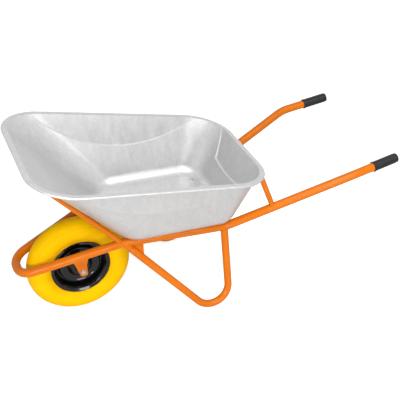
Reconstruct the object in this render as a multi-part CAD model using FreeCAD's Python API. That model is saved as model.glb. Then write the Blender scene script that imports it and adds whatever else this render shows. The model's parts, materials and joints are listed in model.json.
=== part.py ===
import FreeCAD, Part
import math
import os

from FreeCAD import Placement, Rotation, Vector

# A single-wheel builder's wheelbarrow: a pressed steel tray on a bent tube frame
# that runs round the wheel in one piece. All sizes are in millimetres. X runs from
# the wheel (-X) to the handles (+X), Z is up from the ground and the user, who
# stands between the handles and looks at the wheel, has the left side at -Y.

# ---------------------------------------------------------------- driving sizes
LENGTH = 1416.0  # front of the wheel guard loop to the ends of the grips

WHEEL_DIAMETER = 390.0
TYRE_WIDTH = 93.0
TYRE_HEIGHT = 83.0  # from the rim's lip to the tread
RIM_WIDTH = 74.0
RIM_SHEET = 1.6
HUB_DIAMETER = 40.0
HUB_LENGTH = 100.0
HUB_WALL = 4.0
AXLE_DIAMETER = 20.0
AXLE_BOLT = 10.0
BUSH_LENGTH = 24.0
BUSH_FLANGE = 3.0
COLLAR_LENGTH = 7.0
COLLAR_DIAMETER = 30.0
TAB_FRONT = 54.0  # axle bracket ahead of the axle, at the rail
TAB_TOE = 9.0  # and at its foot
TAB_REAR = 17.0
TAB_FOOT = 21.0
TAB_RISE = 27.0

RAIL_DIAMETER = 32.0
LEG_DIAMETER = 28.0
SUPPORT_DIAMETER = 20.0
TUBE_WALL = 1.5

LOOP_HALF_WIDTH = 58.0  # rail centres beside the front of the wheel
LOOP_CLEARANCE = 29.0  # loop centreline to the tyre's foremost point
KNEE_FRONT_HALF = 155.0  # rail centres under the front of the tray
KNEE_REAR_HALF = 170.0  # rail centres under the rear of the tray
HANDLE_HALF = 273.0  # rail centres where the handles turn parallel
GRIP_HALF = 264.0  # rail centres at the ends of the handles
LOOP_BEND = 66.0
KNEE_FRONT_BEND = 100.0
KNEE_REAR_BEND = 60.0
HANDLE_BEND = 150.0
KNEE_DROP = 36.0  # the rails fall this much under the tray, towards the rear
HANDLE_RISE = 117.0  # handle bend above the front knee
GRIP_RISE = 140.0  # handle end above the front knee
HANDLE_END_RUN = 197.0  # from the handle bend to the end
GRIP_LENGTH = 104.0
GRIP_DIAMETER = 37.0
GRIP_EDGE = 5.0
GRIP_CAP = 3.5

LEG_CORNER_BACK = 369.0  # front knee to the sharp corner of the leg's two arms
LEG_CORNER_HALF = 250.0
LEG_BEND = 70.0
GUSSET_LENGTH = 72.0
GUSSET_SHEET = 3.0

FLOOR_LENGTH = 428.0
FLOOR_LEAD = 9.0  # floor's front edge ahead of the front knee
FLOOR_TAIL = 28.0  # floor's rear edge behind the rear knee
FLOOR_WIDTH_FRONT = 404.0
FLOOR_WIDTH_REAR = 404.0
FLOOR_CORNER_FRONT = 96.0
FLOOR_CORNER_REAR = 74.0
FLOOR_FILLET = 43.0
RIM_LENGTH = 855.0
RIM_OVERHANG = 171.0  # tray's rim ahead of the axle
RIM_WIDTH_FRONT = 644.0
RIM_NARROWING = 96.0  # the rim is this much narrower at the rear
RIM_CORNER = 156.0
RIM_FRONT_HEIGHT = 343.0  # above the front of the floor
RIM_REAR_HEIGHT = 181.0  # above the rear of the floor
RIM_FLANGE = 20.0
RIM_BEAD = 9.0
TRAY_SHEET = 1.0
CREASE_DEPTH = 6.0  # crescents pressed out of the walls, at their lowest point
SIDE_CREASE_PLACE = 440.0  # its lowest point behind the rim's front
SIDE_CREASE_SPAN = 624.0
SIDE_CREASE_DROP = 121.0  # and below the rim
REAR_CREASE_SPAN = 320.0
REAR_CREASE_DROP = 123.0

BOLT_DIAMETER = 8.0
PLATE = 4.0
STRAP_WIDTH = 30.0
STRAP_SHEET = 6.0
STRAP_FRONT = 34.0  # strap centre behind the front knee
STRAP_REAR = 16.0  # strap centre ahead of the rear knee
STRAP_BOLTS_FRONT = 115.0
STRAP_BOLTS_REAR = 132.0
HOOP_TAPER = 8.0  # each leg of the front hoop leans in by this much
STRUT_ANGLE = 39.0  # place of the rear strut on the rim's corner

# ------------------------------------------------------------------- clearances
SEAT = 0.3  # between pieces that lie on each other without a fastener
RUNNING = 0.06  # axle in its bushes, on the radius
HOLE = 0.3  # bolt in its hole, on the radius
THREAD = 0.05  # nut on its bolt, on the radius

# ---------------------------------------------------------------- derived sizes
RIM_DIAMETER = WHEEL_DIAMETER - 2 * TYRE_HEIGHT
RIM_WIDTH_REAR = RIM_WIDTH_FRONT - RIM_NARROWING
FLOOR_BENDS = (FLOOR_CORNER_FRONT, FLOOR_CORNER_REAR, FLOOR_CORNER_REAR, FLOOR_CORNER_FRONT)
RIM_BENDS = (RIM_CORNER, RIM_CORNER, RIM_CORNER, RIM_CORNER)
AXLE_Z = WHEEL_DIAMETER / 2
RAIL_R = RAIL_DIAMETER / 2
LEG_R = LEG_DIAMETER / 2
SUPPORT_R = SUPPORT_DIAMETER / 2
BEAD_R = RIM_BEAD / 2
LOOP_REACH = WHEEL_DIAMETER / 2 + LOOP_CLEARANCE
AXLE_X = LOOP_REACH + RAIL_R - LENGTH / 2
END_X = LENGTH / 2

LEFT = -1
RIGHT = 1
SIDES = (("left", LEFT), ("right", RIGHT))
UP = Vector(0, 0, 1)
ACROSS = Vector(0, 1, 0)
AXLE = Vector(AXLE_X, 0, AXLE_Z)

knee_front = Vector(AXLE_X + 0.7 * WHEEL_DIAMETER / 2, KNEE_FRONT_HALF, 0.893 * WHEEL_DIAMETER)
knee_rear_x = knee_front.x - FLOOR_LEAD + FLOOR_LENGTH - FLOOR_TAIL
knee_rear = Vector(knee_rear_x, KNEE_REAR_HALF, knee_front.z - KNEE_DROP)
loop_corner = Vector(AXLE_X - LOOP_REACH, LOOP_HALF_WIDTH, 0.633 * WHEEL_DIAMETER)

# The grip's rounded end is the rearmost point, so its tilt shortens the handle a little.
handle_run = Vector(HANDLE_END_RUN, GRIP_HALF - HANDLE_HALF, GRIP_RISE - HANDLE_RISE)
handle_along = Vector(handle_run).normalize()
handle_tilt = handle_along.getAngle(Vector(1, 0, 0))
grip_lead = (GRIP_DIAMETER / 2 - GRIP_EDGE) * math.sin(handle_tilt)
grip_lead += GRIP_EDGE * (1 - math.cos(handle_tilt))
grip_tip = Vector(END_X - grip_lead, GRIP_HALF, knee_front.z + GRIP_RISE)
handle_end = grip_tip - handle_along * GRIP_CAP
handle_bend = grip_tip - handle_run

# The tray's floor lies on two straps across the straight rails between the knees.
floor_along = Vector(knee_rear.x - knee_front.x, 0, knee_rear.z - knee_front.z).normalize()
floor_up = Vector(-floor_along.z, 0, floor_along.x)


def side_of(point, side):
    """The same point on the left or the right side."""
    return Vector(point.x, side * point.y, point.z)


def mirrored(shape):
    return shape.mirror(Vector(0, 0, 0), ACROSS)


def bent_wire(points, radii, closed=False):
    """Path through the points, with each corner rounded to its bend radius."""
    if closed:
        ring = [points[-1]] + list(points) + [points[0]]
        corners = list(zip(ring, ring[1:], ring[2:], radii))
        start = None
    else:
        corners = list(zip(points, points[1:], points[2:], radii))
        start = points[0]
    edges = []
    first = None
    for before, corner, after, radius in corners:
        back = (before - corner).normalize()
        ahead = (after - corner).normalize()
        half = back.getAngle(ahead) / 2
        enter = corner + back * (radius / math.tan(half))
        leave = corner + ahead * (radius / math.tan(half))
        middle = corner + (back + ahead).normalize() * (radius / math.sin(half) - radius)
        if start is not None and (enter - start).Length > 1e-6:
            edges.append(Part.makeLine(start, enter))
        if first is None:
            first = enter
        if radius > 0:
            edges.append(Part.Arc(enter, middle, leave).toShape())
        start = leave
    end = first if closed else points[-1]
    if (end - start).Length > 1e-6:
        edges.append(Part.makeLine(start, end))
    return Part.Wire(edges)


def rod(path, diameter):
    """Solid round bar along a path."""
    edge = path.Edges[0]
    start = edge.FirstParameter
    ring = Part.makeCircle(diameter / 2, edge.valueAt(start), edge.tangentAt(start))
    return path.makePipe(Part.Face(Part.Wire(ring)))


def tube(path, outside, wall):
    """Round tube of one wall thickness along a path."""
    return rod(path, outside).cut(rod(path, outside - 2 * wall))


def band_face(points, radii, thickness, up):
    """Cross-section of a bent sheet whose middle line runs through the points."""
    steps = [(b - a).normalize() for a, b in zip(points, points[1:])]
    normals = [up.cross(step) for step in steps]
    edges = []
    ends = []
    for shift in (thickness / 2, -thickness / 2):
        moved = [points[0] + normals[0] * shift]
        bends = []
        for corner, first, second, radius in zip(points[1:], normals, normals[1:], radii):
            moved.append(corner + (first + second) * (shift / (1 + first.dot(second))))
            bends.append(radius - math.copysign(1, up.dot(first.cross(second))) * shift)
        moved.append(points[-1] + normals[-1] * shift)
        edges += bent_wire(moved, bends).Edges
        ends.append((moved[0], moved[-1]))
    edges.append(Part.makeLine(ends[0][0], ends[1][0]))
    edges.append(Part.makeLine(ends[0][1], ends[1][1]))
    return Part.Face(Part.Wire(Part.sortEdges(edges)[0]))


def stand(shape, base, direction):
    """Move a shape drawn on the Z axis so that it stands at base and points along direction."""
    placed = shape.copy()
    placed.Placement = Placement(base, Rotation(UP, direction))
    return placed


def drum(radius, base, direction, height):
    return Part.makeCylinder(radius, height, base, direction)


def hexagon(across_flats, height):
    """Hexagonal prism on the Z axis with its top edge chamfered like a bolt head."""
    radius = across_flats / math.sqrt(3)
    corners = [Vector(radius * math.cos(a), radius * math.sin(a), 0) for a in
               (math.radians(60 * i) for i in range(7))]
    prism = Part.Face(Part.makePolygon(corners)).extrude(Vector(0, 0, height))
    bevel = Part.makeCone(0.475 * across_flats + math.sqrt(3) * height, 0.475 * across_flats, height)
    return prism.common(bevel)


def hex_bolt(diameter, length):
    """Hexagon bolt with the head's seat at Z = 0 and the shank below it."""
    head = hexagon(1.625 * diameter, 0.65 * diameter)
    return head.fuse(Part.makeCylinder(diameter / 2, length, Vector(0, 0, -length)))


def dome_bolt(diameter, head, length):
    """Round-headed bolt with the head's seat at Z = 0 and the shank below it."""
    rise = 0.5 * diameter
    rim = 0.15 * rise
    ball = ((head / 2) ** 2 + (rise - rim) ** 2) / (2 * (rise - rim))
    dome = Part.makeSphere(ball, Vector(0, 0, rise - ball)).common(Part.makeCylinder(head / 2, rise))
    return dome.fuse(Part.makeCylinder(diameter / 2, length, Vector(0, 0, -length)))


def nut(diameter):
    """Hexagon nut that sits on Z = 0."""
    body = hexagon(1.625 * diameter, 0.8 * diameter)
    return body.cut(Part.makeCylinder(diameter / 2 + THREAD, 2 * diameter, Vector(0, 0, -diameter)))


def washer(diameter, thickness):
    ring = Part.makeCylinder(diameter, thickness)
    return ring.cut(Part.makeCylinder(diameter / 2 + HOLE, thickness))


def export(shape, node):
    shape.exportStep("parts/" + node + ".step")


os.makedirs("parts", exist_ok=True)

# ------------------------------------------------------------------- frame tube
half_frame = (handle_end, handle_bend, knee_rear, knee_front, loop_corner)
rail_points = [side_of(p, LEFT) for p in half_frame]
rail_points += [side_of(p, RIGHT) for p in reversed(half_frame)]
half_bends = [HANDLE_BEND, KNEE_REAR_BEND, KNEE_FRONT_BEND, LOOP_BEND]
rail_path = bent_wire(rail_points, half_bends + half_bends[::-1])
rail_form = rod(rail_path, RAIL_DIAMETER)  # what the welded pieces are coped to
export(tube(rail_path, RAIL_DIAMETER, TUBE_WALL), "frame_tube")


def on_rail(start, end, x):
    """Point of the straight rail between two of its corners at one X."""
    return start + (end - start) * ((x - start.x) / (end.x - start.x))


# ------------------------------------------------------------------- axle group
axle_half = HUB_LENGTH / 2 + BUSH_FLANGE + COLLAR_LENGTH
rail_over_axle = on_rail(loop_corner, knee_front, AXLE_X)
tab_y = axle_half + PLATE / 2
lean = Vector(0, rail_over_axle.y - tab_y, rail_over_axle.z - AXLE_Z - TAB_RISE).normalize()
bracket_line = [
    Vector(AXLE_X - TAB_FRONT, tab_y, AXLE_Z - TAB_FOOT),
    Vector(AXLE_X - TAB_FRONT, tab_y, AXLE_Z + TAB_RISE),
    Vector(AXLE_X - TAB_FRONT, rail_over_axle.y, rail_over_axle.z) - lean * 6,
]
bracket_sheet = band_face(bracket_line, [12], PLATE, Vector(1, 0, 0))
bracket_sheet = bracket_sheet.extrude(Vector(TAB_FRONT + TAB_REAR, 0, 0))
bracket_outline = bent_wire([
    Vector(AXLE_X - TAB_FRONT, 0, rail_over_axle.z + RAIL_R),
    Vector(AXLE_X - TAB_TOE, 0, AXLE_Z - TAB_FOOT),
    Vector(AXLE_X + TAB_REAR, 0, AXLE_Z - TAB_FOOT),
    Vector(AXLE_X + TAB_REAR, 0, rail_over_axle.z + RAIL_R),
], [0, 8, 8, 0], closed=True)
bracket = bracket_sheet.common(Part.Face(bracket_outline).extrude(Vector(0, 2 * rail_over_axle.y, 0)))
bracket = bracket.cut(rail_form).cut(drum(AXLE_BOLT / 2 + HOLE, AXLE, ACROSS, 2 * axle_half))
export(bracket, "axle_bracket_right")
export(mirrored(bracket), "axle_bracket_left")

axle = Part.makeCylinder(AXLE_DIAMETER / 2, 2 * axle_half, AXLE - ACROSS * axle_half, ACROSS)
bolt_depth = 24
for side in (LEFT, RIGHT):
    end = AXLE + ACROSS * (side * axle_half)
    axle = axle.cut(drum(AXLE_BOLT / 2 + THREAD, end, ACROSS * -side, bolt_depth + 6))
export(axle, "axle")

bolts = []
washers = []
for name, side in SIDES:
    outward = ACROSS * side
    inner_end = AXLE + outward * (axle_half - COLLAR_LENGTH + SEAT)
    collar = drum(COLLAR_DIAMETER / 2, inner_end, outward, COLLAR_LENGTH - SEAT)
    collar = collar.cut(drum(AXLE_DIAMETER / 2 + THREAD, AXLE, outward, 2 * axle_half))
    export(collar, "axle_collar_" + name)
    face = AXLE + outward * (axle_half + PLATE)
    washers.append(stand(washer(AXLE_BOLT, 2), face, outward))
    bolts.append(stand(hex_bolt(AXLE_BOLT, bolt_depth + PLATE + 2), face + outward * 2, outward))
export(Part.makeCompound(washers), "axle_washers")
export(Part.makeCompound(bolts), "axle_bolts")


# ------------------------------------------------------------------------ wheel
def in_wheel(radius, y):
    return Vector(AXLE_X + radius, y, AXLE_Z)


def turned(face):
    return face.revolve(AXLE, ACROSS, 360)


rim_r = RIM_DIAMETER / 2
rim_half = RIM_WIDTH / 2
hub_r = HUB_DIAMETER / 2
joint = RIM_SHEET / 2  # the halves are welded face to face in the middle of the wheel
rim_line = [
    in_wheel(hub_r + joint, rim_half + 9),
    in_wheel(hub_r + joint, rim_half - 3),
    in_wheel(hub_r + 12, rim_half - 4),
    in_wheel(0.43 * rim_r, 15),
    in_wheel(0.58 * rim_r, 13),
    in_wheel(0.66 * rim_r, 19),
    in_wheel(0.72 * rim_r, joint),
    in_wheel(0.78 * rim_r, joint),
    in_wheel(rim_r - 20.5, 9),
    in_wheel(rim_r - 17, rim_half - 13),
    in_wheel(rim_r - 12, rim_half - 5.5),
    in_wheel(rim_r - joint, rim_half - joint),
    in_wheel(rim_r - joint, rim_half - 3),
]
rim_bends = [4, 5, 8, 8, 3, 3, 3, 6, 5, 3, 1.4]
rim_sheet = turned(band_face(rim_line, rim_bends, RIM_SHEET, UP))
export(rim_sheet, "rim_half_right")
export(mirrored(rim_sheet), "rim_half_left")

section_r = TYRE_WIDTH / 2
section_middle = WHEEL_DIAMETER / 2 - section_r


def on_section(degrees):
    """Point of the tyre's round section, measured from the middle of the tread."""
    angle = math.radians(degrees)
    return in_wheel(section_middle + section_r * math.cos(angle), section_r * math.sin(angle))


def flipped(point):
    return Vector(point.x, -point.y, point.z)


seat_points = [in_wheel(rim_r - 15.1, rim_half - 11.75), in_wheel(rim_r - 11.3, rim_half - 6.3),
               in_wheel(rim_r - 4.8, rim_half - 3.5)]
groove_bottom = in_wheel(section_middle + section_r * 0.6 - 0.4, section_r * 0.78)
groove = [on_section(56), groove_bottom, on_section(52)]
half_outline = bent_wire(seat_points, [4.1]).Edges + [
    Part.makeLine(seat_points[2], on_section(137)),
    Part.Arc(on_section(137), on_section(95), groove[0]).toShape(),
    Part.makeLine(groove[0], groove[1]),
    Part.makeLine(groove[1], groove[2]),
    Part.Arc(groove[2], on_section(26), on_section(0)).toShape(),
]
outline = half_outline + [edge.mirror(AXLE, ACROSS) for edge in half_outline]
outline.append(Part.makeLine(flipped(seat_points[0]), seat_points[0]))
export(turned(Part.Face(Part.Wire(Part.sortEdges(outline)[0]))), "tyre")

hub_start = AXLE - ACROSS * (HUB_LENGTH / 2)
hub = drum(hub_r, hub_start, ACROSS, HUB_LENGTH)
export(hub.cut(drum(hub_r - HUB_WALL, hub_start, ACROSS, HUB_LENGTH)), "hub_tube")
for name, side in SIDES:
    outward = ACROSS * side
    mouth = AXLE + outward * (HUB_LENGTH / 2)
    bush = drum(hub_r - HUB_WALL, mouth - outward * BUSH_LENGTH, outward, BUSH_LENGTH)
    bush = bush.fuse(drum(hub_r - 1, mouth, outward, BUSH_FLANGE))
    bush = bush.cut(drum(AXLE_DIAMETER / 2 + RUNNING, AXLE, outward, HUB_LENGTH))
    export(bush, "hub_bush_" + name)

# ------------------------------------------------------------- legs and gussets
leg_top = knee_front
leg_back = knee_front + (knee_rear - knee_front) * 0.973


def leg_corner_on_ground():
    """Sharp corner of the two arms, as low as lets the bend between them stand on the ground."""
    corner = Vector(knee_front.x + LEG_CORNER_BACK, LEG_CORNER_HALF, 0)
    for _ in range(30):
        up_front = (leg_top - corner).normalize()
        up_back = (leg_back - corner).normalize()
        half = up_front.getAngle(up_back) / 2
        centre = corner + (up_front + up_back).normalize() * (LEG_BEND / math.sin(half))
        plane = up_front.cross(up_back).normalize()
        corner.z += LEG_R - (centre.z - LEG_BEND * math.sqrt(1 - plane.z ** 2))
    return corner


leg_corner = leg_corner_on_ground()
leg_down = (leg_corner - leg_top).normalize()
leg_plane = leg_down.cross((leg_back - leg_corner).normalize()).normalize()
if leg_plane.y < 0:
    leg_plane = leg_plane * -1
inward = leg_plane.cross(leg_down).normalize()
if inward.x < 0:
    inward = inward * -1
rail_along = (knee_rear - knee_front).normalize()
gusset_corners = [
    leg_top + rail_along * 8,
    leg_top + rail_along * GUSSET_LENGTH,
    leg_top + leg_down * (GUSSET_LENGTH / leg_down.x) - inward * 7,
    leg_top + leg_down * 26 - inward * 7,
]
gusset_face = Part.Face(Part.makePolygon(gusset_corners + gusset_corners[:1]))


def gusset_plate(thickness):
    plate = gusset_face.extrude(leg_plane * thickness)
    plate.translate(leg_plane * (-thickness / 2))
    return plate


bolt_spot = leg_top + leg_down * 42
leg_hole = drum(BOLT_DIAMETER / 2 + HOLE, bolt_spot - leg_plane * 2 * LEG_R, leg_plane, 4 * LEG_R)
leg = tube(bent_wire([leg_top, leg_corner, leg_back], [LEG_BEND]), LEG_DIAMETER, TUBE_WALL)
leg = leg.cut(rail_form).cut(gusset_plate(GUSSET_SHEET + 2 * SEAT)).cut(leg_hole)
gusset = gusset_plate(GUSSET_SHEET).cut(rail_form).cut(leg_hole)
leg_bolt = dome_bolt(BOLT_DIAMETER, 2.1 * BOLT_DIAMETER, 2 * LEG_R + BOLT_DIAMETER + 3)
leg_bolt = stand(leg_bolt, bolt_spot + leg_plane * LEG_R, leg_plane)
leg_nut = stand(nut(BOLT_DIAMETER), bolt_spot - leg_plane * LEG_R, leg_plane * -1)
export(leg, "leg_right")
export(mirrored(leg), "leg_left")
export(gusset, "leg_gusset_right")
export(mirrored(gusset), "leg_gusset_left")
export(Part.makeCompound([leg_bolt, mirrored(leg_bolt)]), "leg_bolts")
export(Part.makeCompound([leg_nut, mirrored(leg_nut)]), "leg_nuts")


# ------------------------------------------------------------------------- tray
def floor_at(x, y=0.0):
    """Point of the tray's underside, which is the tops of the straps on the rails."""
    seat = on_rail(knee_front, knee_rear, x)
    top = Vector(seat.x, 0, seat.z) + floor_up * (RAIL_R + STRAP_SHEET)
    return Vector(x, y, top.z + (x - top.x) * floor_along.z / floor_along.x)


floor_front = knee_front.x - FLOOR_LEAD
floor_rear = floor_front + FLOOR_LENGTH
rim_front = AXLE_X - RIM_OVERHANG
rim_rear = rim_front + RIM_LENGTH
rim_front_z = floor_at(floor_front).z + RIM_FRONT_HEIGHT
rim_rear_z = floor_at(floor_rear).z + RIM_REAR_HEIGHT
rim_along = Vector(RIM_LENGTH, 0, rim_rear_z - rim_front_z).normalize()
rim_up = Vector(-rim_along.z, 0, rim_along.x)
floor_corners = [
    floor_at(floor_front, FLOOR_WIDTH_FRONT / 2),
    floor_at(floor_rear, FLOOR_WIDTH_REAR / 2),
    floor_at(floor_rear, -FLOOR_WIDTH_REAR / 2),
    floor_at(floor_front, -FLOOR_WIDTH_FRONT / 2),
]
rim_corners = [
    Vector(rim_front, RIM_WIDTH_FRONT / 2, rim_front_z),
    Vector(rim_rear, RIM_WIDTH_REAR / 2, rim_rear_z),
    Vector(rim_rear, -RIM_WIDTH_REAR / 2, rim_rear_z),
    Vector(rim_front, -RIM_WIDTH_FRONT / 2, rim_front_z),
]


def inset(corners, up, distance):
    """Corners of the outline moved in by one distance all round, in their own plane."""
    moved = []
    ring = [corners[-1]] + corners + [corners[0]]
    for before, corner, after in zip(ring, ring[1:], ring[2:]):
        first = (corner - before).normalize().cross(up)
        second = (after - corner).normalize().cross(up)
        moved.append(corner + (first + second) * (distance / (1 + first.dot(second))))
    return moved


def outline_wire(corners, up, distance, radii):
    return bent_wire(inset(corners, up, distance), [radius - distance for radius in radii], closed=True)


def basin(sheet, lift, over):
    """Solid form of the tray: its outer form, or its hollow when moved in by the sheet."""
    low = [c + floor_up * lift for c in floor_corners]
    high = [c + rim_up * over for c in rim_corners]
    floor = outline_wire(low, floor_up, sheet, FLOOR_BENDS)
    rim = outline_wire(high, rim_up, RIM_FLANGE + sheet, RIM_BENDS)
    form = Part.makeLoft([floor, rim], True, True)
    base = []
    for edge in form.Edges:
        if all(abs((v.Point - low[0]).dot(floor_up)) < 1e-4 for v in edge.Vertexes):
            base.append(edge)
    return form.makeFillet(FLOOR_FILLET - sheet, base)


def rim_at(x):
    return rim_front_z + (x - rim_front) * rim_along.z / rim_along.x


def rim_side(x):
    """Point on top of the right wall."""
    share = (x - rim_front) / RIM_LENGTH
    half = RIM_WIDTH_FRONT / 2 - share * RIM_NARROWING / 2
    return Vector(x, half - RIM_FLANGE, rim_at(x))


def rim_rear_point(y):
    """Point on top of the rear wall."""
    return Vector(rim_rear, y, rim_rear_z) - rim_along * RIM_FLANGE


class Crescent:
    """Panel below the rim that is pressed out of a flat wall, more towards its lowest point."""

    def __init__(self, top, foot, along, drop, outline):
        self.top = top
        self.slope = (foot - top).normalize()
        self.along = along
        self.normal = along.cross(self.slope).normalize()
        self.drop = drop
        self.outline = outline

    def panel(self, form, lift):
        """What the panel adds to a form of the tray, the panel's edge moved in by lift."""
        reach = 4 * CREASE_DEPTH
        hinge = 0.1 * self.drop
        turn = math.degrees(CREASE_DEPTH / (self.drop + hinge))
        pushed = form.copy()
        pushed.rotate(self.top - self.slope * hinge, self.along, turn)
        rings = []
        for side in (-1, 1):
            ring = Part.Wire(self.outline(self, lift + side * reach))
            ring.translate(self.normal * (side * reach))
            rings.append(ring)
        return Part.makeLoft(rings, True, True).common(pushed)


def side_outline(crescent, lift):
    middle = rim_front + SIDE_CREASE_PLACE
    first = rim_side(middle - SIDE_CREASE_SPAN / 2 + lift)
    last = rim_side(middle + SIDE_CREASE_SPAN / 2 - lift)
    low = crescent.top + crescent.slope * (crescent.drop - lift)
    return [Part.Arc(first, low, last).toShape(), Part.makeLine(last, first)]


def rear_outline(crescent, lift):
    half = REAR_CREASE_SPAN / 2 - lift
    low = crescent.slope * (crescent.drop - lift)
    end = low * 0.9
    corners = [crescent.top + ACROSS * half, crescent.top + ACROSS * (0.74 * half) + end,
               crescent.top + low, crescent.top - ACROSS * (0.74 * half) + end,
               crescent.top - ACROSS * half]
    return [Part.makeLine(corners[0], corners[1]), Part.Arc(*corners[1:4]).toShape(),
            Part.makeLine(corners[3], corners[4]), Part.makeLine(corners[4], corners[0])]


side_x = rim_front + SIDE_CREASE_PLACE
side_crescent = Crescent(
    rim_side(side_x), floor_at(side_x, (FLOOR_WIDTH_FRONT + FLOOR_WIDTH_REAR) / 4),
    (rim_side(rim_rear) - rim_side(rim_front)).normalize(), SIDE_CREASE_DROP, side_outline)
rear_crescent = Crescent(rim_rear_point(0), floor_at(floor_rear), ACROSS * -1, REAR_CREASE_DROP, rear_outline)


def with_crescents(form, lift):
    side = side_crescent.panel(form, lift)
    return form.fuse([side, mirrored(side), rear_crescent.panel(form, lift)])


def rim_roll():
    """Flange on top of the walls, with its edge rolled down into a bead."""
    path = outline_wire(rim_corners, rim_up, RIM_FLANGE, RIM_BENDS)
    edge = path.Edges[0]
    start = edge.valueAt(edge.FirstParameter)
    along = edge.tangentAt(edge.FirstParameter)
    out = rim_up.cross(along)
    half = TRAY_SHEET / 2
    curl = BEAD_R - half
    spots = [(-1.15 * TRAY_SHEET, 0), (RIM_FLANGE - half, 0), (RIM_FLANGE - half, -2 * curl),
             (RIM_FLANGE - half - 2 * curl, -2 * curl), (RIM_FLANGE - half - 2 * curl, -0.6 * curl)]
    line = [start + out * across + rim_up * (half + rise) for across, rise in spots]
    return path.makePipe(band_face(line, [0.97 * curl] * 3, TRAY_SHEET, along))


hollow = with_crescents(basin(1.15 * TRAY_SHEET, TRAY_SHEET, 0), 1.2 * TRAY_SHEET)
tray = with_crescents(basin(0, 0, 0), 0).cut(hollow).fuse(rim_roll())
tray_bolts = []
tray_washers = []
tray_nuts = []
straps = []
for name, x, half in (("front", knee_front.x + STRAP_FRONT, STRAP_BOLTS_FRONT),
                      ("rear", knee_rear.x - STRAP_REAR, STRAP_BOLTS_REAR)):
    middle = floor_at(x)
    reach = on_rail(knee_front, knee_rear, x).y + 4
    strap = Part.makeBox(STRAP_WIDTH, 2 * reach, STRAP_SHEET, Vector(-STRAP_WIDTH / 2, -reach, -STRAP_SHEET))
    strap.Placement = Placement(middle, Rotation(UP, floor_up))
    strap = strap.cut(rail_form)
    for side in (LEFT, RIGHT):
        spot = floor_at(x, side * half)
        hole = drum(BOLT_DIAMETER / 2 + HOLE, spot - floor_up * 20, floor_up, 40)
        strap = strap.cut(hole)
        tray = tray.cut(hole)
        bolt = dome_bolt(BOLT_DIAMETER, 2.25 * BOLT_DIAMETER, 19)
        tray_bolts.append(stand(bolt, spot + floor_up * TRAY_SHEET, floor_up))
        tray_washers.append(stand(washer(BOLT_DIAMETER, 1.5), spot - floor_up * STRAP_SHEET, floor_up * -1))
        tray_nuts.append(stand(nut(BOLT_DIAMETER), spot - floor_up * (STRAP_SHEET + 1.5), floor_up * -1))
    export(strap, "cross_strap_" + name)
export(tray, "tray")
export(Part.makeCompound(tray_bolts), "tray_bolts")
export(Part.makeCompound(tray_washers), "tray_washers")
export(Part.makeCompound(tray_nuts), "tray_nuts")

# --------------------------------------------------------------- tray supports
# The front hoop lies along the sloping front wall, up to the underside of the rim.
wall_foot = floor_at(floor_front)
wall_top = Vector(rim_front, 0, rim_front_z) + rim_along * RIM_FLANGE
wall_down = (wall_foot - wall_top).normalize()
wall_out = Vector(wall_down.z, 0, -wall_down.x)
hoop_line = wall_top + wall_out * (SUPPORT_R + SEAT)
hoop_top = hoop_line + wall_down * RIM_BEAD
rail_line = (knee_front - loop_corner).normalize()
turn = wall_out.dot(rail_line)
hoop_foot = knee_front + rail_line * ((hoop_line - knee_front).dot(wall_out) / turn)
hoop_corner = Vector(hoop_top.x, hoop_foot.y - HOOP_TAPER, hoop_top.z)
hoop_points = [side_of(hoop_foot, LEFT), side_of(hoop_corner, LEFT), hoop_corner, hoop_foot]
hoop = tube(bent_wire(hoop_points, [45, 45]), SUPPORT_DIAMETER, TUBE_WALL)
export(hoop.cut(rail_form), "front_tray_support")

# Each rear strut stands on the handle and carries the rolled edge at the rear corner.
strut_foot = knee_rear + (handle_bend - knee_rear) * 0.375
corner_middle = Vector(rim_rear - RIM_CORNER, RIM_WIDTH_REAR / 2 - RIM_CORNER, 0)
spread = math.radians(STRUT_ANGLE)
strut_reach = RIM_CORNER - SUPPORT_R + 1.5
strut_x = corner_middle.x + strut_reach * math.cos(spread)
strut_top = Vector(strut_x, corner_middle.y + strut_reach * math.sin(spread), rim_at(strut_x))
strut = tube(Part.Wire(Part.makeLine(strut_foot, strut_top)), SUPPORT_DIAMETER, TUBE_WALL)
cap = Part.makeBox(RIM_LENGTH, 2 * RIM_WIDTH_REAR, RIM_REAR_HEIGHT,
                   Vector(-RIM_LENGTH / 2, -RIM_WIDTH_REAR, TRAY_SHEET - RIM_BEAD - SEAT))
cap.Placement = Placement(Vector(rim_rear, 0, rim_at(rim_rear)), Rotation(UP, rim_up))
strut = strut.cut(rail_form).cut(cap)
export(strut, "rear_strut_right")
export(mirrored(strut), "rear_strut_left")

# ------------------------------------------------------------------------ grips
# Drawn on the Z axis with the handle's end at Z = 0 and the hand's end above it.
grip_r = GRIP_DIAMETER / 2
inner_r = RAIL_R + THREAD
mouth_z = GRIP_CAP - GRIP_LENGTH
outline = [
    Part.makeLine(Vector(0, 0, 0), Vector(inner_r, 0, 0)),
    Part.makeLine(Vector(inner_r, 0, 0), Vector(inner_r, 0, mouth_z)),
    Part.makeLine(Vector(inner_r, 0, mouth_z), Vector(grip_r + 1, 0, mouth_z)),
    Part.makeLine(Vector(grip_r + 1, 0, mouth_z), Vector(grip_r + 1, 0, mouth_z + 4)),
]
ridge_count = 9
start = Vector(grip_r + 1, 0, mouth_z + 4)
pitch = (GRIP_LENGTH - 4 - 2 * GRIP_EDGE) / ridge_count
for i in range(ridge_count):
    low = Vector(grip_r - 0.9, 0, mouth_z + 4 + pitch * i)
    high = Vector(grip_r - 0.9, 0, low.z + pitch)
    crest = Vector(grip_r, 0, low.z + pitch / 2)
    if i == 0:
        outline.append(Part.makeLine(start, low))
    outline.append(Part.Arc(low, crest, high).toShape())
    start = high
shoulder = Vector(grip_r - 0.9, 0, GRIP_CAP - GRIP_EDGE)
flat = Vector(grip_r - 0.9 - GRIP_EDGE, 0, GRIP_CAP)
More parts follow.
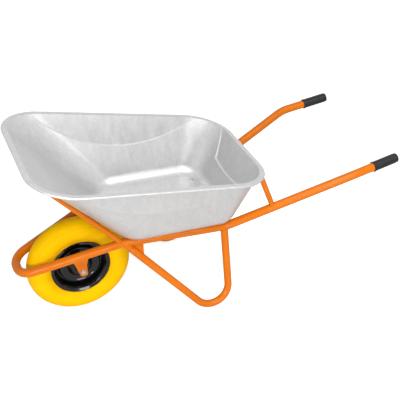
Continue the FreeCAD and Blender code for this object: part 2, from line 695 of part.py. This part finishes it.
round_middle = Vector(flat.x + GRIP_EDGE * math.sqrt(0.5), 0, shoulder.z + GRIP_EDGE * math.sqrt(0.5))
outline += [
    Part.makeLine(start, shoulder),
    Part.Arc(shoulder, round_middle, flat).toShape(),
    Part.makeLine(flat, Vector(0, 0, GRIP_CAP)),
    Part.makeLine(Vector(0, 0, GRIP_CAP), Vector(0, 0, 0)),
]
grip_form = Part.Face(Part.Wire(outline)).revolve(Vector(0, 0, 0), UP, 360)
grip = stand(grip_form, handle_end, handle_along)
export(grip, "grip_right")
export(mirrored(grip), "grip_left")
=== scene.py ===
import json
import math

import bmesh
import bpy
from mathutils import Matrix, Vector
from mathutils.bvhtree import BVHTree


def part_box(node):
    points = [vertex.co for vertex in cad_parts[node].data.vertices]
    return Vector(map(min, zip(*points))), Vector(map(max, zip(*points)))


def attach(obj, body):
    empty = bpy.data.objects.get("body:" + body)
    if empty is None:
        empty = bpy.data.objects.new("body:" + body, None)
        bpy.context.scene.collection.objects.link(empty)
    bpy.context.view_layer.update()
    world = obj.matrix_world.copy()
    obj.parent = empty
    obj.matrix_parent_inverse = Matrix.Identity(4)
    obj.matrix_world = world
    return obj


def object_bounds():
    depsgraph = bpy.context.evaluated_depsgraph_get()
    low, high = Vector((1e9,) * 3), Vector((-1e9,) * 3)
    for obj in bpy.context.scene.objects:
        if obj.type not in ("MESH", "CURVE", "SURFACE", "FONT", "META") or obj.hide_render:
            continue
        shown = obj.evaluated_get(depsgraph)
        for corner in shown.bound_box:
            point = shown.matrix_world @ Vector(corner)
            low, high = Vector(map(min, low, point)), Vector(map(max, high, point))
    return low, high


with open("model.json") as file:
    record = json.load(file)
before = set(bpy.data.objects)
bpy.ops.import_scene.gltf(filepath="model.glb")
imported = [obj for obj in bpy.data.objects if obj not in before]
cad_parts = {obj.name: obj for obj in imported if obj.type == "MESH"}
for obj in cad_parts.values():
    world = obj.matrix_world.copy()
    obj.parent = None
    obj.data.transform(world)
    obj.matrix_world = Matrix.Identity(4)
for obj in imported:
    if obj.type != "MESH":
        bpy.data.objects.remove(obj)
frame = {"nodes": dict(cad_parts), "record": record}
cad_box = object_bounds()
slot_of = {part["node"]: part["material_slot"] for part in frame["record"]["subparts"]}


# ------------------------------------------------------------------ shader tools
MOST_OF_A_PATTERN = (0.3, 0.7)  # noise seldom goes below or above these


class Surface:
    """A Principled material whose patterns are drawn in the object's own coordinates, in metres."""

    def __init__(self, name, color, metallic=0.0):
        self.material = bpy.data.materials.new(name)
        self.material.use_nodes = True
        self.nodes = self.material.node_tree.nodes
        self.links = self.material.node_tree.links
        self.shader = self.nodes["Principled BSDF"]
        self.place = self.nodes.new("ShaderNodeTexCoord").outputs["Object"]
        self.color = (*color, 1.0)
        self.material.diffuse_color = self.color
        self.put(metallic, "Metallic")
        self.put(self.color, "Base Color")
        self.height = None

    def put(self, value, socket):
        target = self.shader.inputs[socket]
        if isinstance(value, bpy.types.NodeSocket):
            self.links.new(value, target)
        else:
            target.default_value = value

    def node(self, kind, inputs=(), output=0, **settings):
        new = self.nodes.new(kind)
        for name, value in settings.items():
            setattr(new, name, value)
        for name, value in dict(inputs).items():
            if isinstance(value, bpy.types.NodeSocket):
                self.links.new(value, new.inputs[name])
            else:
                new.inputs[name].default_value = value
        return new.outputs[output]

    def stretched(self, scale):
        return self.node("ShaderNodeMapping", {"Vector": self.place, "Scale": scale})

    def noise(self, scale, detail=3.0, place=None):
        return self.node("ShaderNodeTexNoise", {"Vector": place or self.place, "Scale": scale, "Detail": detail})

    def cells(self, scale):
        """One random grey per cell, as the grains of a zinc coating."""
        color = self.node("ShaderNodeTexVoronoi", {"Vector": self.place, "Scale": scale}, output="Color")
        return self.node("ShaderNodeSeparateColor", {"Color": color})

    def spread(self, pattern, low, high):
        """Numbers from low to high that follow a pattern."""
        start, stop = MOST_OF_A_PATTERN
        return self.node("ShaderNodeMapRange", {"Value": pattern, "From Min": start, "From Max": stop,
                                                "To Min": low, "To Max": high})

    def math(self, operation, first, second):
        return self.node("ShaderNodeMath", {0: first, 1: second}, operation=operation)

    def tint(self, pattern, low, high):
        """Base colour that runs between two brightnesses of the surface's own colour."""
        ramp = self.nodes.new("ShaderNodeValToRGB")
        for element, gain, position in zip(ramp.color_ramp.elements, (low, high), MOST_OF_A_PATTERN):
            element.color = (*(min(1.0, c * gain) for c in self.color[:3]), 1.0)
            element.position = position
        self.links.new(pattern, ramp.inputs["Fac"])
        self.put(ramp.outputs["Color"], "Base Color")

    def relief(self, pattern, depth):
        """Add a height pattern, depth in metres."""
        bump = self.nodes.new("ShaderNodeBump")
        bump.inputs["Distance"].default_value = depth
        self.links.new(pattern, bump.inputs["Height"])
        if self.height:
            self.links.new(self.height, bump.inputs["Normal"])
        self.height = bump.outputs["Normal"]
        self.put(self.height, "Normal")


def orange_paint():
    s = Surface("orange_paint", (0.63, 0.148, 0.0))
    s.tint(s.noise(9, detail=4), 0.94, 1.05)
    s.put(s.spread(s.noise(35), 0.14, 0.22), "Roughness")
    s.put(0.2, "Specular IOR Level")
    s.relief(s.noise(420, detail=1), 0.00004)
    s.relief(s.noise(30, detail=2), 0.0003)
    return s.material


def galvanised_sheet():
    """Fine grains and clouds of zinc, with faint streaks down the walls, where it ran off."""
    s = Surface("galvanised_sheet", (0.585, 0.585, 0.585), metallic=0.65)
    streaks = s.noise(1.0, detail=5, place=s.stretched((55, 55, 5)))
    grains = s.cells(170)
    clouds = s.noise(7, detail=4)
    fine = s.math("ADD", s.math("MULTIPLY", grains, 0.2), s.math("MULTIPLY", streaks, 0.5))
    s.tint(s.math("ADD", fine, s.math("MULTIPLY", clouds, 0.3)), 0.91, 1.08)
    s.put(s.spread(streaks, 0.37, 0.47), "Roughness")
    s.relief(clouds, 0.0006)
    s.relief(streaks, 0.0004)
    return s.material


def black_paint():
    s = Surface("black_paint", (0.004, 0.004, 0.004))
    s.put(s.spread(s.noise(40), 0.07, 0.14), "Roughness")
    s.put(0.4, "Specular IOR Level")
    s.relief(s.noise(45, detail=2), 0.0003)
    return s.material


def yellow_tyre():
    s = Surface("yellow_tyre", (0.90, 0.51, 0.0))
    s.tint(s.noise(14, detail=5), 0.93, 1.04)
    s.put(s.spread(s.noise(60), 0.52, 0.68), "Roughness")
    s.put(0.05, "Specular IOR Level")
    s.relief(s.noise(900, detail=2), 0.0002)
    s.relief(s.noise(70, detail=3), 0.0004)
    return s.material


def grip_pvc():
    s = Surface("grip_pvc", (0.014, 0.013, 0.014))
    s.tint(s.noise(60, detail=4), 0.85, 1.2)
    s.put(s.spread(s.noise(90), 0.32, 0.48), "Roughness")
    s.put(0.25, "Specular IOR Level")
    s.relief(s.noise(1500, detail=2), 0.00015)
    return s.material


def bush_plastic():
    s = Surface("bush_plastic", (0.03, 0.03, 0.03))
    s.tint(s.noise(80), 0.85, 1.15)
    s.put(0.5, "Roughness")
    s.relief(s.noise(1200, detail=1), 0.0001)
    return s.material


def zinc_steel():
    s = Surface("zinc_steel", (0.50, 0.49, 0.46), metallic=0.9)
    s.tint(s.noise(150, detail=4), 0.8, 1.1)
    s.put(s.spread(s.noise(200), 0.28, 0.48), "Roughness")
    s.relief(s.noise(500, detail=2), 0.0001)
    return s.material


makers = (orange_paint, galvanised_sheet, black_paint, yellow_tyre, grip_pvc, bush_plastic, zinc_steel)
surfaces = {make.__name__: make() for make in makers}
for node, piece in frame["nodes"].items():
    piece.data.materials.clear()
    piece.data.materials.append(surfaces[slot_of[node]])


# ------------------------------------------------------------------------- welds
WELDED = ("rear_strut_left", "rear_strut_right", "leg_left", "leg_right", "leg_gusset_left", "leg_gusset_right",
          "axle_bracket_left", "axle_bracket_right", "front_tray_support")
BEAD_RADIUS = 0.0019
BEAD_STEP = 0.001
RIPPLE_STEPS = 3  # a ripple is this many steps long
RIPPLE_WAIST = 0.8  # how much thinner the bead is between two ripples
LONGEST_WELD = 0.15  # a longer loop is a leg's front end, which is bolted
SEAM_GAP = 0.00001
CONTACT_GAP = 0.0005
SAME_MIDDLE = 0.005  # loops with their middles closer than this are the edges of one tube's wall


def closed_mesh(piece):
    """A copy of a node's mesh in which the seams between its CAD faces are closed."""
    mesh = bmesh.new()
    mesh.from_mesh(piece.data)
    mesh.transform(piece.matrix_world)
    bmesh.ops.remove_doubles(mesh, verts=mesh.verts, dist=SEAM_GAP)
    return mesh


def contact_loops(piece, tube):
    """Closed loops of points round the faces of a piece that lie on the frame tube."""
    mesh = closed_mesh(piece)
    touching = {vert for vert in mesh.verts if tube.find_nearest(vert.co)[3] < CONTACT_GAP}
    lying = {face for face in mesh.faces if touching.issuperset(face.verts)}
    border = {edge: True for edge in mesh.edges if sum(face in lying for face in edge.link_faces) == 1}
    loops = []
    while border:
        edge = next(iter(border))
        start, vert = edge.verts
        points = [start.co.copy()]
        while edge:
            del border[edge]
            points.append(vert.co.copy())
            edge = next((other for other in vert.link_edges if other in border), None)
            vert = edge.other_vert(vert) if edge else vert
        if vert is start:
            loops.append(points)
    mesh.free()
    return loops


def length_of(points):
    return sum((b - a).length for a, b in zip(points, points[1:]))


def middle_of(points):
    return sum(points[1:], Vector()) / (len(points) - 1)


def is_weld(loop, loops):
    """True for the outer edge of a joint: of two loops round one middle, the longer."""
    inner = any(length_of(other) > length_of(loop)
                and (middle_of(other) - middle_of(loop)).length < SAME_MIDDLE for other in loops)
    return not inner and length_of(loop) < LONGEST_WELD


def even_points(points):
    """The loop again, as points about BEAD_STEP apart and a whole number of ripples, without the closing one."""
    count = round(length_of(points) / BEAD_STEP / RIPPLE_STEPS) * RIPPLE_STEPS
    step = length_of(points) / count
    even, walked = [], 0.0
    for a, b in zip(points, points[1:]):
        part = (b - a).length
        while len(even) < count and len(even) * step <= walked + part:
            even.append(a.lerp(b, (len(even) * step - walked) / part))
        walked += part
    return even


def weld(node, tube):
    """Beads of weld, with ripples, round the ends of a piece that stand on the frame tube."""
    curve = bpy.data.curves.new("weld_" + node, "CURVE")
    curve.dimensions = "3D"
    curve.bevel_depth = BEAD_RADIUS
    curve.bevel_resolution = 1
    loops = contact_loops(frame["nodes"][node], tube)
    for loop in loops:
        if is_weld(loop, loops):
            points = even_points(loop)
            spline = curve.splines.new("POLY")
            spline.points.add(len(points) - 1)
            spline.use_cyclic_u = True
            for i, (point, place) in enumerate(zip(spline.points, points)):
                point.co = (*place, 1)
                point.radius = 1 if i % RIPPLE_STEPS else RIPPLE_WAIST
    holder = bpy.data.objects.new("holder", curve)
    mesh = bpy.data.meshes.new_from_object(holder)
    bpy.data.objects.remove(holder)
    mesh.shade_smooth()
    mesh.materials.clear()
    mesh.materials.append(surfaces["orange_paint"])
    bead = bpy.data.objects.new("weld_" + node, mesh)
    bpy.context.collection.objects.link(bead)
    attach(bead, "frame")


tube_mesh = closed_mesh(frame["nodes"]["frame_tube"])
frame_tube = BVHTree.FromBMesh(tube_mesh)
tube_mesh.free()
for welded in WELDED:
    weld(welded, frame_tube)


# ------------------------------------------------------------------------- stage
SOFT_LIGHT = 0.42  # from the world, all round
SHOWN_WORLD = {"Is Camera Ray": 1, "Is Glossy Ray": 1, "Is Transmission Ray": 1}
FLOOR_GLOW = {"Is Camera Ray": 0.7, "Is Glossy Ray": 0.1, "Is Transmission Ray": 0.1}
FLOOR_COLOR = (0.7, 0.7, 0.7, 1)
FLOOR_SIZE = 24
FLOOR_DROP = 0.0002
WHITE = (1, 1, 1, 1)

# Each lamp: name, place, what it points at, width, height, watts.
LAMPS = (
    ("overhead", (0.2, -1.4, 3.0), (0, 0, 0.3), 2.2, 1.2, 30),
    ("top", (-0.2, -0.45, 2.9), (-0.2, 0, 0.2), 1.6, 0.5, 10),  # for the upper sides of the tubes and the rim
    ("strip", (0.1, -1.6, 2.9), (0, 0, 0.3), 2.0, 0.3, 12),  # narrow, for crisp highlights
    ("key", (0.2, -3.3, 2.0), (0, 0, 0.4), 2.0, 0.9, 41),  # for the tray's far wall
    ("wheel_side", (-2.3, -2.3, 1.0), (-0.4, 0, 0.2), 1.2, 0.8, 38),
    ("low", (0.0, -3.2, 0.45), (-0.45, 0, 0.1), 0.8, 0.3, 9),  # for the highlight on the rim's lip
)

# The camera stands this far from the wheel's middle in X, and at this Y and height.
CAMERA_FROM_WHEEL, CAMERA_Y, CAMERA_HEIGHT = -0.48427, -2.47110, 2.15989
YAW, PITCH, ROLL = 0.376593, -0.603104, -0.033965
SENSOR_WIDTH = 36
FOCAL_LENGTH_IN_WIDTHS = 850 / 400


def light_path_value(tree, gains):
    """A number that depends on the kind of ray: the largest gain of the kinds that the ray is."""
    path = tree.nodes.new("ShaderNodeLightPath")
    value = None
    for kind, gain in gains.items():
        part = tree.nodes.new("ShaderNodeMath")
        part.operation = "MULTIPLY"
        tree.links.new(path.outputs[kind], part.inputs[0])
        part.inputs[1].default_value = gain
        if value:
            largest = tree.nodes.new("ShaderNodeMath")
            largest.operation = "MAXIMUM"
            tree.links.new(value, largest.inputs[0])
            tree.links.new(part.outputs[0], largest.inputs[1])
            part = largest
        value = part.outputs[0]
    return value


def make_world():
    """White where the camera, a reflection or glass shows it, and soft grey light on the object."""
    world = bpy.data.worlds.new("studio")
    bpy.context.scene.world = world
    world.use_nodes = True
    tree = world.node_tree
    shown = tree.nodes.new("ShaderNodeBackground")
    shown.inputs["Strength"].default_value = 1.0
    shown.inputs["Color"].default_value = WHITE
    lighting = tree.nodes["Background"]
    lighting.inputs["Color"].default_value = WHITE
    lighting.inputs["Strength"].default_value = SOFT_LIGHT
    mix = tree.nodes.new("ShaderNodeMixShader")
    seen = light_path_value(tree, SHOWN_WORLD)
    tree.links.new(seen, mix.inputs["Fac"])
    tree.links.new(lighting.outputs[0], mix.inputs[1])
    tree.links.new(shown.outputs[0], mix.inputs[2])
    tree.links.new(mix.outputs[0], tree.nodes["World Output"].inputs["Surface"])


def make_floor():
    """A pale floor just under the object, which glows for the camera and keeps the object's shadow."""
    bpy.ops.mesh.primitive_plane_add(size=FLOOR_SIZE, location=(0, 0, cad_box[0][2] - FLOOR_DROP))
    floor = bpy.context.object
    floor.name = "floor"
    material = bpy.data.materials.new("floor")
    material.use_nodes = True
    tree = material.node_tree
    shader = tree.nodes["Principled BSDF"]
    shader.inputs["Base Color"].default_value = FLOOR_COLOR
    shader.inputs["Roughness"].default_value = 0.9
    shader.inputs["Specular IOR Level"].default_value = 0.0
    shader.inputs["Emission Color"].default_value = WHITE
    tree.links.new(light_path_value(tree, FLOOR_GLOW), shader.inputs["Emission Strength"])
    floor.data.materials.append(material)


def softbox(name, place, target, width, height, watts):
    light = bpy.data.lights.new(name, "AREA")
    light.shape = "RECTANGLE"
    light.size = width
    light.size_y = height
    light.energy = watts
    lamp = bpy.data.objects.new(name, light)
    bpy.context.collection.objects.link(lamp)
    lamp.location = place
    lamp.rotation_euler = (Vector(target) - Vector(place)).to_track_quat("-Z", "Y").to_euler()


def make_camera():
    """Looks down on the barrow from its side, from a little ahead of the wheel."""
    ahead = Vector((math.sin(YAW) * math.cos(PITCH), math.cos(YAW) * math.cos(PITCH), math.sin(PITCH)))
    level = Vector((math.cos(YAW), -math.sin(YAW), 0))
    upright = level.cross(ahead)
    right = math.cos(ROLL) * level + math.sin(ROLL) * upright
    top = math.cos(ROLL) * upright - math.sin(ROLL) * level
    data = bpy.data.cameras.new("camera")
    data.sensor_width = SENSOR_WIDTH
    data.lens = SENSOR_WIDTH * FOCAL_LENGTH_IN_WIDTHS
    camera = bpy.data.objects.new("camera", data)
    bpy.context.collection.objects.link(camera)
    turn = Matrix((right, top, -ahead)).transposed().to_4x4()
    low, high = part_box("axle")
    stand = Vector(((low[0] + high[0]) / 2 + CAMERA_FROM_WHEEL, CAMERA_Y, CAMERA_HEIGHT))
    camera.matrix_world = Matrix.Translation(stand) @ turn
    bpy.context.scene.camera = camera


make_world()
make_floor()
for lamp in LAMPS:
    softbox(*lamp)
make_camera()
bpy.context.scene.view_settings.view_transform = "Standard"
